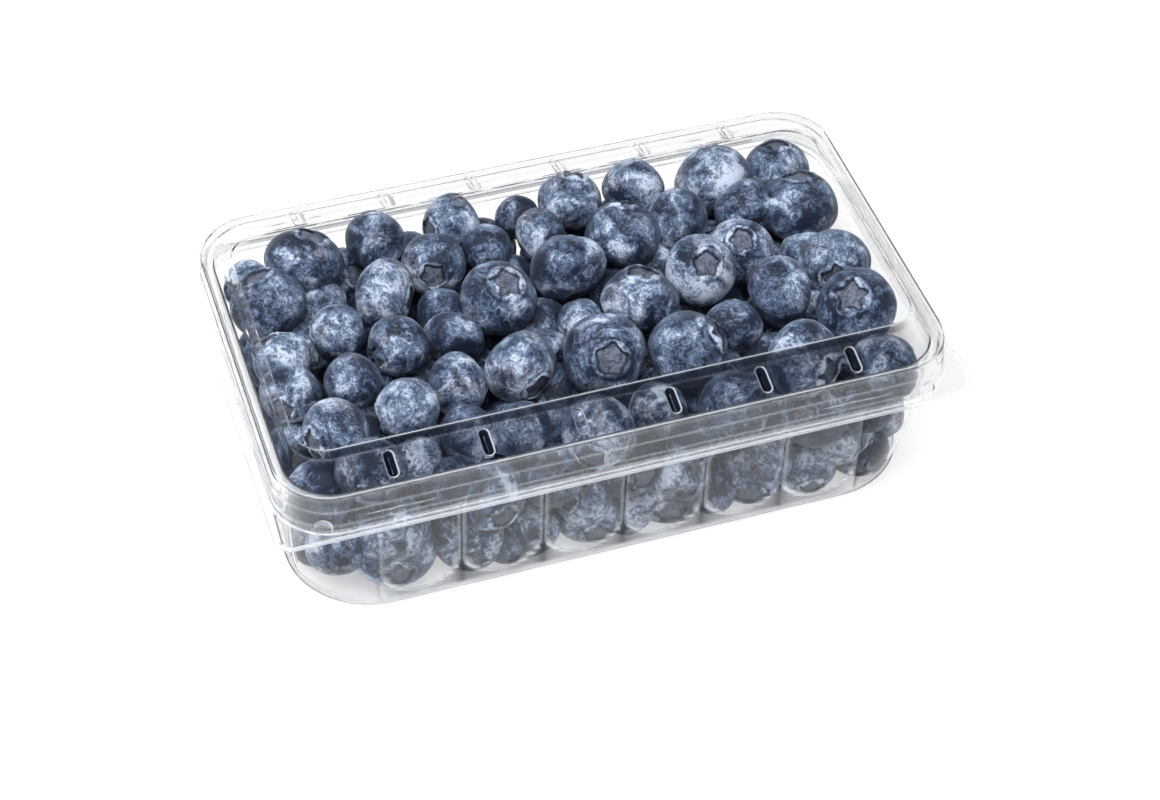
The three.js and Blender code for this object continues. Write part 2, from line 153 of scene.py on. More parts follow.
class PunnetPack(bpy.types.PropertyGroup):
    sheet: bpy.props.FloatProperty(
        name="Sheet thickness", description="Thickness of the formed plastic",
        default=0.00055, min=0.0002, max=0.001, unit="LENGTH", precision=5)
    flute_depth: bpy.props.FloatProperty(
        name="Flute depth", description="How far the grooves between the flutes draw in",
        default=0.0017, min=0.0, max=0.003, unit="LENGTH", precision=4)
    slot_width: bpy.props.FloatProperty(
        name="Slot width", description="Width of a vent slot in the lid",
        default=0.0026, min=0.001, max=0.005, unit="LENGTH", precision=4)
    tint: bpy.props.FloatVectorProperty(
        name="Tint", description="Colour of light that passes through the plastic",
        subtype="COLOR", size=3, min=0.0, max=1.0, default=(0.998, 0.999, 0.999))
    # Colour of the painted highlights and reflections along the plastic's folds.
    painted_reflection_colour: bpy.props.FloatVectorProperty(
        name="Haze", description="Colour of the milky share of the plastic's folds",
        subtype="COLOR", size=3, min=0.0, max=1.0, default=(0.89, 0.925, 0.985))


class PunnetFruit(bpy.types.PropertyGroup):
    seed: bpy.props.IntProperty(
        name="Seed", description="Picks the sizes, turns and marks of the berries", default=11, min=0)
    skin: bpy.props.FloatVectorProperty(
        name="Skin", description="Colour of bare skin where the bloom is rubbed off",
        subtype="COLOR", size=3, min=0.0, max=1.0, default=(0.0065, 0.0115, 0.027))
    veil: bpy.props.FloatVectorProperty(
        name="Veil", description="Colour where the bloom is thin",
        subtype="COLOR", size=3, min=0.0, max=1.0, default=(0.07, 0.105, 0.178))
    bloom: bpy.props.FloatVectorProperty(
        name="Bloom", description="Colour of the thick waxy bloom",
        subtype="COLOR", size=3, min=0.0, max=1.0, default=(0.46, 0.53, 0.645))
    plum: bpy.props.FloatVectorProperty(
        name="Plum", description="Warmer colour of the thin bloom on some berries",
        subtype="COLOR", size=3, min=0.0, max=1.0, default=(0.14, 0.135, 0.16))
    crown: bpy.props.FloatVectorProperty(
        name="Crown", description="Colour inside a berry's crown",
        subtype="COLOR", size=3, min=0.0, max=1.0, default=(0.13, 0.152, 0.215))


class PunnetStudio(bpy.types.PropertyGroup):
    ground: bpy.props.FloatVectorProperty(
        name="Ground", description="Colour of the floor",
        subtype="COLOR", size=3, min=0.0, max=1.0, default=(0.5, 0.5, 0.5))
    glow: bpy.props.FloatProperty(
        name="Glow", description="Light that comes up through the floor, a white sheet lit from below",
        default=0.64, min=0.0)
    overhead: bpy.props.FloatProperty(
        name="Overhead light", description="Power of the large soft light above the pack",
        default=12.0, min=0.0, unit="POWER")
    side: bpy.props.FloatProperty(
        name="Side light", description="Power of the soft light at the left",
        default=4.2, min=0.0, unit="POWER")
    sky: bpy.props.FloatProperty(
        name="Room light", description="Strength of the room's light from overhead",
        default=0.045, min=0.0)
    horizon: bpy.props.FloatProperty(
        name="Horizon light", description="Strength of the pale walls low down all round the room",
        default=0.55, min=0.0)


# ---- shader maths ----


class Wire:
    """One shader socket. Arithmetic on wires adds the Math nodes it needs."""

    def __init__(self, finish, socket):
        self.finish = finish
        self.socket = socket

    def math(self, operation, *values, clamp=False):
        settings = {"operation": operation, "use_clamp": clamp}
        return self.finish.node("ShaderNodeMath", settings, dict(enumerate((self, *values))))

    def __add__(self, other):
        return self.math("ADD", other)

    def __sub__(self, other):
        return self.math("SUBTRACT", other)

    def __mul__(self, other):
        return self.math("MULTIPLY", other)

    def __pow__(self, other):
        return self.math("POWER", other)

    def __rsub__(self, other):
        return self.finish.node("ShaderNodeMath", {"operation": "SUBTRACT"}, {0: other, 1: self})

    __radd__ = __add__
    __rmul__ = __mul__

    def held(self):
        """The same value kept between 0 and 1."""
        return self.math("ADD", 0.0, clamp=True)

    def between(self, low, high):
        """0 below low, 1 above high, and a smooth rise between them."""
        settings = {"interpolation_type": "SMOOTHSTEP"}
        return self.finish.node("ShaderNodeMapRange", settings, {0: self, 1: low, 2: high})


class Finish:
    """A material and the nodes it is made of."""

    def __init__(self, name):
        self.material = bpy.data.materials.new(name)
        self.material.use_nodes = True
        self.tree = self.material.node_tree
        self.tree.nodes.clear()

    def node(self, kind, settings=None, sockets=None, output=0):
        made = self.tree.nodes.new(kind)
        for key, value in (settings or {}).items():
            setattr(made, key, value)
        for key, value in (sockets or {}).items():
            socket = made.inputs[key]
            if isinstance(value, Wire):
                self.tree.links.new(value.socket, socket)
            else:
                socket.default_value = value
        return Wire(self, made.outputs[output])

    def place(self):
        return self.node("ShaderNodeTexCoord", output=3)

    def attribute(self, name):
        return self.node("ShaderNodeAttribute", {"attribute_name": name}, output=2)

    def grain(self, scale, detail=3.0, roughness=0.55, swirl=0.0):
        sockets = {"Vector": self.place(), "Scale": scale, "Detail": detail, "Roughness": roughness}
        return self.node("ShaderNodeTexNoise", None, {**sockets, "Distortion": swirl})

    def blend(self, share, first, second):
        """A colour that goes from first to second as share goes from 0 to 1."""
        sockets = {0: share, 6: first, 7: second}
        return self.node("ShaderNodeMix", {"data_type": "RGBA"}, sockets, output=2)

    def mix(self, share, first, second):
        """A shader that goes from first to second as share goes from 0 to 1."""
        return self.node("ShaderNodeMixShader", None, {0: share, 1: first, 2: second})

    def bump(self, height, strength, distance):
        sockets = {"Height": height, "Strength": strength, "Distance": distance}
        return self.node("ShaderNodeBump", None, sockets)

    def surface(self, shader):
        sheet = self.tree.nodes.new("ShaderNodeOutputMaterial")
        self.tree.links.new(shader.socket, sheet.inputs["Surface"])
        return self.material


def opaque(colour):
    return (*colour, 1.0)


def clear_plastic(pack):
    """Clear formed sheet: it bends and mirrors light, and along its folds it gets painted highlights and
    reflections in a whitish colour and painted shade in a near-black one.
    """
    finish = Finish("clear_plastic")
    ripple = finish.grain(42.0, 1.0, 0.4)
    glass = finish.node("ShaderNodeBsdfPrincipled", None, {
        "Base Color": opaque(pack.tint),
        "Roughness": 0.0,
        "IOR": 1.1,
        "Transmission Weight": 1.0,
        "Coat Weight": 0.15,
        "Coat IOR": 1.5,
        "Coat Roughness": 0.02,
        "Normal": finish.bump(ripple, 0.1, 0.0006),
    })
    # Painted highlight and reflection: a whitish rough surface that covers the sheet where that share is
    # high.
    painted_reflection = finish.node("ShaderNodeBsdfPrincipled", None, {
        "Base Color": opaque(pack.painted_reflection_colour),
        "Roughness": 0.35,
    })
    # Painted shade: a near-black surface that covers the sheet where that share is high.
    shade = finish.node("ShaderNodeBsdfPrincipled", None, {
        "Base Color": (0.01, 0.015, 0.03, 1.0),
        "Roughness": 0.5,
        "Specular IOR Level": 0.1,
    })
    through = finish.node("ShaderNodeBsdfTransparent", None, {"Color": (0.93, 0.93, 0.93, 1.0)})
    lamp_ray = finish.node("ShaderNodeLightPath", output=1)
    shown = finish.mix(finish.attribute("painted_reflection").held(), glass, painted_reflection)
    shown = finish.mix(finish.attribute("painted_shade").held(), shown, shade)
    return finish.surface(finish.mix(lamp_ray, shown, through))


def berry_skin(fruit):
    """Dark skin under a patchy pale bloom, with a greyer crown, a painted pale sheen round the outline and
    painted shade in the crown's hollows.
    """
    finish = Finish("berry_skin")
    # The tone share varies each berry's bloom and warmth at random, and on the hidden packed berries it
    # lowers the bloom for painted shade.
    tone_and_shade = finish.attribute("tone_and_shade")
    crown = finish.attribute("crown")
    sepal = finish.attribute("sepal")
    patches = finish.grain(125.0, 5.0, 0.6, 0.6)
    streaks = finish.grain(420.0, 5.0, 0.74, 1.6)
    dust = finish.grain(1500.0, 4.0, 0.8)
    # The sepal share adds bloom on the crown's raised ring and takes it away in the groove beyond it and
    # between the sepals: a painted highlight and painted shade.
    cover = patches * 0.58 + streaks * 0.42 + dust * 0.24 + tone_and_shade * 0.03 + sepal * 0.03
    thin = cover.between(0.55, 0.625)
    thick = cover.between(0.62, 0.745)
    warm = (finish.grain(110.0, 2.0, 0.5) + tone_and_shade * 0.03).between(0.55, 0.68)
    veil = finish.blend(warm * 0.6, opaque(fruit.veil), opaque(fruit.plum))
    skin = finish.blend(thin, opaque(fruit.skin), veil)
    skin = finish.blend(thick, skin, opaque(fruit.bloom))
    # Painted sheen: where the surface turns away from the view, the skin takes on the bloom's colour, a pale
    # rim round each berry's outline.
    edge = finish.node("ShaderNodeLayerWeight", None, {"Blend": 0.25}, output=1)
    skin = finish.blend((edge ** 2.5) * 0.35, skin, opaque(fruit.bloom))
    shade = opaque(tuple(c * 0.25 for c in fruit.crown))
    pit = finish.blend((streaks * 0.8 + dust * 0.5).between(0.52, 0.78), shade, opaque(fruit.crown))
    colour = finish.blend(crown.held(), skin, pit)
    # Painted shade: a dark line, half as bright as bare skin, along the steep wall of the crown's pit.
    brink = (crown * (1.0 - crown) * 3.6).held()
    colour = finish.blend(brink, colour, opaque(tuple(c * 0.5 for c in fruit.skin)))
    rough = 0.38 + thin * 0.16 + thick * 0.16
    relief = dust * 0.5 + streaks * 0.6
    shader = finish.node("ShaderNodeBsdfPrincipled", None, {
        "Base Color": colour,
        "Roughness": rough,
        "Specular IOR Level": 0.27,
        "Normal": finish.bump(relief, 0.7, 0.0005),
    })
    return finish.surface(shader)


def heap_painted_shade(fruit):
    """Painted shade for what shows in the deep gaps of the heap: a dark colour, half as bright as the bare
    skin.
    """
    finish = Finish("deep_heap")
    speck = finish.grain(160.0, 3.0, 0.6).between(0.4, 0.7)
    deep = opaque(tuple(c * 0.5 for c in fruit.skin))
    shader = finish.node("ShaderNodeBsdfPrincipled", None, {
        "Base Color": finish.blend(speck, deep, opaque(fruit.skin)),
        "Roughness": 0.8,
        "Normal": finish.bump(speck, 0.4, 0.001),
    })
    return finish.surface(shader)


def studio_ground(studio):
    finish = Finish("studio_ground")
    mottle = finish.grain(3.0, 2.0, 0.5)
    paper = tuple(c * 0.995 for c in studio.ground)
    shader = finish.node("ShaderNodeBsdfPrincipled", None, {
        "Base Color": finish.blend(mottle, opaque(studio.ground), opaque(paper)),
        "Roughness": 0.9,
        "Specular IOR Level": 0.0,
        "Emission Color": (1.0, 1.0, 1.0, 1.0),
        "Emission Strength": studio.glow,
    })
    return finish.surface(shader)


# ---- shapes ----


def corner_fall(along, half, r):
    """How far an edge falls back inside its corner's arc."""
    into = max(0.0, abs(along) - (half - r))
    return r - math.sqrt(max(0.0, r * r - into * into))


STEPS_PER_FLUTE = 12
CORNER_STEPS = 16
LONG_HALF = FLUTES_LONG * FLUTE_PITCH / 2
SHORT_HALF = FLUTES_SHORT * FLUTE_PITCH / 2


def side_points(half, fall_half, reach, steps, radii):
    """(distance along, distance out) pairs on one side, crowded at the grooves between the flutes."""
    found = []
    for i in range(steps + 1):
        flute, step = divmod(i, STEPS_PER_FLUTE)
        crowded = flute + (1 - math.cos(math.pi * step / STEPS_PER_FLUTE)) / 2
        along = reach * (2 * crowded * STEPS_PER_FLUTE / steps - 1)
        r = radii[0] if along < 0 else radii[1]
        found.append((along, half - corner_fall(along, fall_half, r)))
    return found


def corner_points(ex, ey, hx, hy, r):
    """From the end of one side's flutes to the start of the next, round the corner at (hx, hy).
    ex and ey are where the flutes end. Straight stretches beside the arc get a few of the points."""
    lengths = (hx - r - ex, hy - r - ey)
    shares = [0.18 * min(1.0, max(0.0, length) / 3.0) for length in lengths]
    first = math.asin(max(0.0, -lengths[0]) / r)
    last = math.pi / 2 - math.asin(max(0.0, -lengths[1]) / r)
    found = []
    for i in range(1, CORNER_STEPS + 1):
        t = i / (CORNER_STEPS + 1)
        if t < shares[0]:
            found.append((lerp(ex, hx - r, t / shares[0]), hy))
        elif t > 1 - shares[1]:
            found.append((hx, lerp(ey, hy - r, (1 - t) / shares[1])))
        else:
            turn = lerp(first, last, (t - shares[0]) / (1 - shares[0] - shares[1]))
            found.append((hx - r + r * math.sin(turn), hy - r + r * math.cos(turn)))
    return found


def outline(hx, hy, radii):
    """Points round a rounded rectangle, from its front left. Every outline has as many points.
    radii are those of the front left, front right, back right and back left corners."""
    front_left, front_right, back_right, back_left = radii
    ex = min(LONG_HALF, hx - 1.0)
    ey = min(SHORT_HALF, hy - 1.0)
    long_steps = FLUTES_LONG * STEPS_PER_FLUTE
    short_steps = FLUTES_SHORT * STEPS_PER_FLUTE
    points = [(x, -y) for x, y in side_points(hy, hx, ex, long_steps, (front_left, front_right))]
    points += [(x, -y) for x, y in corner_points(ex, ey, hx, hy, front_right)]
    points += [(x, y) for y, x in side_points(hx, hy, ey, short_steps, (front_right, back_right))]
    points += [(x, y) for x, y in reversed(corner_points(ex, ey, hx, hy, back_right))]
    points += [(-x, y) for x, y in side_points(hy, hx, ex, long_steps, (back_right, back_left))]
    points += [(-x, y) for x, y in corner_points(ex, ey, hx, hy, back_left)]
    points += [(-x, -y) for y, x in side_points(hx, hy, ey, short_steps, (back_left, front_left))]
    points += [(-x, -y) for x, y in reversed(corner_points(ex, ey, hx, hy, front_left))]
    return [Vector(p) for p in points]


def even(r):
    return (r, r, r, r)


class Shell:
    """A formed sheet, made by drawing one loop of edges through a row of stations."""

    def __init__(self, name):
        self.name = name
        self.bm = bmesh.new()
        self.painted_reflection = self.bm.verts.layers.float.new("painted_reflection")
        self.painted_shade = self.bm.verts.layers.float.new("painted_shade")
        self.edges = []
        self.order = []

    def station(self, points, painted_reflection, painted_shade=0.0):
        """Draws the open edge on to these points, with two shares for the sheet there: how much painted
        highlight and reflection it gets and how much painted shade, each one value or one for each point."""
        if not self.edges:
            self.order = [self.bm.verts.new(p) for p in points]
            closed = zip(self.order, self.order[1:] + self.order[:1])
            self.edges = [self.bm.edges.new(pair) for pair in closed]
        else:
            before = {v: i for i, v in enumerate(self.order)}
            count = len(self.order)
            made = bmesh.ops.extrude_edge_only(self.bm, edges=self.edges)["geom"]
            new_verts = [g for g in made if isinstance(g, bmesh.types.BMVert)]
            fresh = [None] * count
            for v in new_verts:
                old = next(e.other_vert(v) for e in v.link_edges if e.other_vert(v) in before)
                fresh[before[old]] = v
            for v, p in zip(fresh, points):
                v.co = p
            self.order = fresh
            loop = set(fresh)
            self.edges = [g for g in made if isinstance(g, bmesh.types.BMEdge) and set(g.verts) <= loop]
        for layer, value in ((self.painted_reflection, painted_reflection), (self.painted_shade, painted_shade)):
            values = value if isinstance(value, list) else [value] * len(self.order)
            for v, share in zip(self.order, values):
                v[layer] = share

    def finish(self, sheet):
        """Gives the sheet its thickness, inwards, and turns it into an object, in metres."""
        bmesh.ops.remove_doubles(self.bm, verts=self.bm.verts, dist=0.001)
        bmesh.ops.recalc_face_normals(self.bm, faces=self.bm.faces)
        front = Vector((0, -RIM_Y, 30))
        wall = min(self.bm.faces, key=lambda f: (f.calc_center_median() - front).length)
        if wall.normal.y > 0:
            bmesh.ops.reverse_faces(self.bm, faces=self.bm.faces)
        bmesh.ops.transform(self.bm, matrix=Matrix.Scale(MM, 4), verts=self.bm.verts)
        made = object_from(self.bm, self.name)
        thicken = made.modifiers.new("sheet", "SOLIDIFY")
        thicken.thickness = sheet
        thicken.offset = -1.0
        return made


def fill_middle(shell, z):
    """Fills the level loop that the shell was started from, at this height."""
    start = [e for e in shell.bm.edges if len(e.link_faces) == 1]
    start = [e for e in start if all(abs(v.co.z - z) < 0.01 for v in e.verts)]
    face = bmesh.ops.contextual_create(shell.bm, geom=start)["faces"]
    bmesh.ops.inset_region(shell.bm, faces=face, thickness=4.0, use_even_offset=True)


def object_from(bm, name):
    mesh = bpy.data.meshes.new(name)
    bm.to_mesh(mesh)
    bm.free()
    mesh.polygons.foreach_set("use_smooth", [True] * len(mesh.polygons))
    made = bpy.data.objects.new(name, mesh)
    bpy.context.scene.collection.objects.link(made)
    return made


def apply_modifiers(made):
    """Replaces the object's mesh by what its modifiers make of it."""
    depsgraph = bpy.context.evaluated_depsgraph_get()
    mesh = bpy.data.meshes.new_from_object(made.evaluated_get(depsgraph), depsgraph=depsgraph)
    old = made.data
    made.modifiers.clear()
    made.data = mesh
    bpy.data.meshes.remove(old)
    mesh.name = made.name
    return made


def ring(inset_x, inset_y, r, z):
    """A level loop, measured in from the lid's top ring."""
    return [Vector((p.x, p.y, z)) for p in outline(RIM_X - inset_x, RIM_Y - inset_y, even(r))]


def flange_ring(z, shrink=0.0):
    """The edge of a flange. Its front corners are squared and the right one sticks out as a thumb tab."""
    hx = RIM_X + (FLANGE_LEFT + FLANGE_RIGHT) / 2 - shrink
    shift = (FLANGE_RIGHT - FLANGE_LEFT) / 2
    points = []
    for p in outline(hx, RIM_Y + FLANGE_FRONT - shrink, (4.5, 8.5, 8.0, 8.0)):
        x = p.x + shift
        on_tab = p.x > hx - 16.0
        tab = smooth((TAB_FRONT_Y - p.y) / 2.5) * smooth((p.x - hx + 16.0) / 12.0) if on_tab else 0.0
        points.append(Vector((x + 1.1 * tab, p.y, z)))
    return points


def smooth(t):
    t = min(1.0, max(0.0, t))
    return t * t * (3 - 2 * t)


def lerp(a, b, t):
    return a + (b - a) * t


# ---- tray ----


def flute_bulge(along, z):
    """Half a cylinder with a rounded lower end: 1 on a flute's crest and 0 in the grooves."""
    u = 2 * ((along / FLUTE_PITCH) % 1.0) - 1
    below = max(0.0, FLUTE_CURVE_Z - z) / (FLUTE_CURVE_Z - FLUTE_BOTTOM_Z)
    return math.sqrt(max(0.0, 1 - u * u - below * below))


def groove_marks(z, share=1.0):
    """Lists of painted highlight and painted shade for a wall ring: painted shade in the grooves and as a
    painted contact shadow between the flutes' feet, painted highlights beside the grooves and round the
    feet, and a faint painted reflection all over.
    """
    painted_reflection, painted_shade = [], []
    below = max(0.0, FLUTE_CURVE_Z - z) / (FLUTE_CURVE_Z - FLUTE_BOTTOM_Z)
    for p in wall_ring(z, 0.0):
        on_long = abs(p.x) < LONG_HALF + 0.01
        on_side = on_long or abs(p.y) < SHORT_HALF + 0.01
        along = p.x if on_long else p.y + FLUTE_PITCH / 2
        u = 2 * ((along / FLUTE_PITCH) % 1.0) - 1
        reach = math.hypot(u, below)
        # Painted highlight round the rounded foot of each flute.
        foot = math.exp(-((reach - 0.98) / 0.05) ** 2) if below > 0.3 and abs(u) < 0.95 else 0.0
        # Painted highlight beside each groove.
        beside = math.exp(-((abs(u) - 0.955) / 0.025) ** 2)
        inner = smooth((LONG_HALF - abs(p.x)) / 9.0)
        # Painted contact shadow between the flutes' feet, darkest near the grooves.
        between = smooth((reach - 1.0) / 0.08) * smooth(below * 3.0) * inner
        painted_contact_shadow = 0.22 + 0.3 * u ** 6
        # Painted shade in each groove, faded out towards the left end and under the contact shadow.
        past_left_end = smooth((p.x + 76.0) / 20.0)
        groove = 0.36 * math.exp(-((1 - abs(u)) / 0.012) ** 2) * (1 - between) * past_left_end
        painted_reflection.append(share * max(0.03, 0.9 * foot, 0.2 * beside * (1 - between)) if on_side else 0.0)
        painted_shade.append(share * (groove + painted_contact_shadow * between * (1 - foot)) if on_side else 0.0)
    return painted_reflection, painted_shade


def wall_ring(z, depth):
    """The fluted wall at one height. depth is that of the grooves, which fade out under the rim."""
    t = min(1.0, max(0.0, (z - 3.2) / (TRAY_FLANGE_Z - 3.2)))
    inset = lerp(3.1, 3.0, t)
    r = lerp(24.0, 15.0, t)
    below = max(0.0, FLUTE_CURVE_Z - z) / (FLUTE_CURVE_Z - FLUTE_BOTTOM_Z)
    corner = 0.6 * min(1.0, below * below)
    points = []
    for p in outline(RIM_X - inset, RIM_Y - inset, even(r)):
        on_long = abs(p.x) < LONG_HALF + 0.01
        on_short = abs(p.y) < SHORT_HALF + 0.01
        along = p.x if on_long else p.y + FLUTE_PITCH / 2
        pull = depth * (1 - flute_bulge(along, z) if on_long or on_short else corner)
        x = p.x if on_long else p.x - math.copysign(pull, p.x)
        y = p.y if on_short else p.y - math.copysign(pull, p.y)
        points.append(Vector((x, y, z)))
    return points


class PUNNET_OT_tray(bpy.types.Operator):
    """Build the fluted tray with its folded rim and flange"""

    bl_idname = "punnet.tray"
    bl_label = "Tray"

    def execute(self, context):
        pack = context.scene.punnet_pack
        depth = pack.flute_depth / MM
        shell = Shell("tray_shell")
        foot = 3.8
        # The floor's rounded edge gets a faint painted reflection and some painted shade.
        for turn in (0, 18, 36, 54, 72, 90):
            back = 3.6 * (1 - math.sin(math.radians(turn)))
            rise = 3.0 * (1 - math.cos(math.radians(turn)))
            shell.station(ring(foot + back, foot + back, 24.0 - back, rise), 0.12, 0.07)
        for z in WALL_LEVELS:
            shell.station(wall_ring(z, depth), *groove_marks(z))
        shell.station(wall_ring(35.6, depth * 0.5), *groove_marks(35.6, 0.5))
        # The rim and flange get painted highlights along their folds and edges.
        shell.station(ring(3.0, 3.0, 15.0, FLUTE_END_Z), 0.0)
        shell.station(ring(2.8, 2.8, 14.0, RIM_TOP_Z - 1.0), 0.0)
        shell.station(ring(2.6, 2.6, 14.2, RIM_TOP_Z - 0.3), 0.05)
        shell.station(ring(2.1, 2.1, 14.5, RIM_TOP_Z), 0.1)
        shell.station(ring(1.8, 1.8, 14.6, RIM_TOP_Z), 0.1)
        shell.station(ring(1.35, 1.35, 14.8, RIM_TOP_Z - 0.3), 0.05)
        shell.station(ring(1.2, 1.2, 14.9, RIM_TOP_Z - 1.0), 0.0)
        shell.station(ring(0.75, 0.75, 15.2, TRAY_FLANGE_Z + 0.8), 0.0)
        shell.station(ring(0.55, 0.55, 15.4, TRAY_FLANGE_Z + 0.2), 0.08)
        shell.station(ring(0.0, 0.0, 15.8, TRAY_FLANGE_Z), 0.0)
        shell.station(flange_ring(TRAY_FLANGE_Z, 0.9), 0.0)
        shell.station(flange_ring(TRAY_FLANGE_Z - 0.05, 0.35), 0.2)
        shell.station(flange_ring(TRAY_FLANGE_Z - 0.2, 0.02), 0.35)
        fill_middle(shell, 0.0)
        made = shell.finish(pack.sheet)
        made.data.materials.append(pack_material())
        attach(made, "tray")
        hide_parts("tray")
        return {"FINISHED"}


# ---- lid ----


def skirt_ring(z):
    """The lid's skirt at one height, with its two faint steps and its snap ridges."""
    t = (RIM_Z - z) / (RIM_Z - LID_FLANGE_Z)
    out = SKIRT_DRAFT * t + 0.14 * smooth((47.1 - z) / 0.5) + 0.14 * smooth((42.7 - z) / 0.5)
    points = []
    for p in outline(RIM_X + out, RIM_Y + out, even(RIM_R + out)):
        ridge = 0.0
        if abs(p.x) < LONG_HALF + 8:
            along = abs(abs(p.x) - RIDGE_X)
            run = 1 - smooth((along - 8.5) / 2.5)
            notch = 1 - 0.7 * (1 - smooth((along - 0.6) / 1.2))
            ridge = 0.65 * run * notch * (1 - smooth(abs(z - RIDGE_Z) / 0.9))
        y = p.y + math.copysign(ridge, p.y) if abs(p.x) < LONG_HALF + 8 else p.y
        points.append(Vector((p.x, y, z)))
    return points


def slope_z(inset):
    """Height of the lid's slope at a distance in from the ring's outline."""
    return lerp(RIM_Z, PANEL_Z - 2.25, (inset - 2.2) / 8.7)


def front_painted_share(depth, rest=0.0):
    """Shares for one loop of the lid, used for painted shade and for a painted highlight: depth along its
    front, where a fold mirrors the heap, else rest.
    """
    found = []
    for p in ring(7.0, 12.7, 9.0, 0.0):
        front = smooth((-8.0 - p.y) / 26.0) * smooth((84.0 - abs(p.x)) / 9.0)
        found.append(lerp(rest, depth, front))
    return found


def lid_shell(pack):
    shell = Shell("lid_shell")
    # Each station gets a share of painted highlight and reflection, then one of painted shade: bright lines
    # along the folds, and painted shade along the front, where the folds mirror the dark heap.
    shell.station(ring(8.3, 14.0, 8.0, PANEL_Z), 0.0)
    shell.station(ring(7.75, 13.45, 8.5, PANEL_Z), 0.0)
    shell.station(ring(7.35, 13.05, 8.9, PANEL_Z), 0.06)
    shell.station(ring(7.1, 12.8, 9.0, PANEL_Z - 0.06), front_painted_share(0.45, 0.05))
    shell.station(ring(6.9, 12.6, 9.15, PANEL_Z - 0.3), 0.02, front_painted_share(0.35))
    shell.station(ring(6.6, 12.3, 9.3, PANEL_Z - 0.75), 0.0, front_painted_share(0.55))
    shell.station(ring(6.0, 11.7, 9.8, PANEL_Z - 1.8), 0.0, front_painted_share(0.55))
    shell.station(ring(5.75, 11.4, 10.0, PANEL_Z - 2.08), 0.02, front_painted_share(0.35))
    shell.station(ring(5.3, 10.9, 10.4, PANEL_Z - 2.25), 0.0, front_painted_share(0.28))
    shell.station(ring(5.0, 8.4, 10.9, slope_z(8.4)), 0.0, front_painted_share(0.25))
    shell.station(ring(4.6, 5.5, 11.5, slope_z(5.5)), 0.0, front_painted_share(0.2))
    shell.station(ring(4.4, 2.2, 12.5, RIM_Z), 0.0, front_painted_share(0.14, 0.04))
    shell.station(ring(1.1, 0.9, 14.2, RIM_Z), 0.0, front_painted_share(0.15, 0.06))
    shell.station(ring(0.65, 0.6, 14.5, RIM_Z - 0.02), 0.12)
    shell.station(ring(0.4, 0.38, 14.8, RIM_Z - 0.14), front_painted_share(0.4, 0.16))
    shell.station(ring(0.2, 0.18, 14.9, RIM_Z - 0.45), 0.0, front_painted_share(0.35))
    shell.station(ring(0.0, 0.0, 15.0, RIM_Z - 0.8), 0.0, front_painted_share(0.25))
    # The skirt's two steps get painted highlights; its other levels get a faint painted reflection and,
    # along the front, painted shade.
    for z in SKIRT_LEVELS:
        step = z in SKIRT_STEPS
        shell.station(skirt_ring(z), 0.2 if step else 0.03, front_painted_share(0.0 if step else 0.11))
    shell.station(ring(-SKIRT_DRAFT - 0.25, -SKIRT_DRAFT - 0.25, RIM_R + 1.2, LID_FLANGE_Z + 0.2), 0.14)
    shell.station(ring(-SKIRT_DRAFT - 0.5, -SKIRT_DRAFT - 0.5, RIM_R + 1.4, LID_FLANGE_Z), 0.3)
    shell.station(ring(-SKIRT_DRAFT - 0.9, -SKIRT_DRAFT - 0.9, RIM_R + 1.6, LID_FLANGE_Z), 0.05, 0.04)
    shell.station(flange_ring(LID_FLANGE_Z, 0.8), 0.05, 0.05)
    shell.station(flange_ring(LID_FLANGE_Z - 0.04, 0.4), 0.25)
    shell.station(flange_ring(LID_FLANGE_Z - 0.2, 0.02), 0.35)
    fill_middle(shell, PANEL_Z)
    return shell.finish(pack.sheet)


def each_slot():
    """(side, number, place of its middle) of each slot: side is -1 at the front and 1 at the back."""
    for side, i in itertools.product((-1, 1), range(SLOT_COUNT)):
        along = (i - (SLOT_COUNT - 1) / 2) * SLOT_PITCH
        yield side, i, Vector((along, side * (RIM_Y - SLOT_FROM_EDGE), RIM_Z))


def slot_cutters(pack):
    """Upright stadiums that cut the vents through the lid's front and back slopes."""
    bm = bmesh.new()
    half = pack.slot_width / MM / 2
    for _, _, place in each_slot():
        made = bmesh.ops.create_cone(
            bm, cap_ends=True, segments=16, radius1=half, radius2=half, depth=12.0,
            matrix=Matrix.Translation(place))["verts"]
        for v in made:
            beyond = v.co.y - place.y
            v.co.y += math.copysign(SLOT_HALF - half, beyond) if abs(beyond) > 0.01 else 0.0
    bmesh.ops.transform(bm, matrix=Matrix.Scale(MM, 4), verts=bm.verts)
    return object_from(bm, "slot_cutters")


def stadium(half_width, half_length, segments=28):
    """Points round a slot's outline, with the way out at each."""
    straight = half_length - half_width
    for i in range(segments):
        turn = (i + 0.5) / segments * 2 * math.pi
        out = Vector((math.cos(turn), math.sin(turn)))
        yield out * half_width + Vector((0, math.copysign(straight, out.y))), out


SLOT_SECTION = (
    # distance out from the slot's edge and height over the slope, then shares of painted highlight and
    # painted shade
    (0.32, -0.10, 0.0, 0.0),
    (0.36, 0.10, 1.0, 0.0),
    (0.12, 0.16, 1.0, 0.0),
    (-0.04, 0.02, 0.6, 0.1),
    (-0.10, -0.25, 0.0, 1.0),
    (-1.20, -0.90, 0.0, 1.0),
    (-1.10, -1.10, 0.0, 1.0),
    (0.10, -0.60, 0.0, 1.0),
)


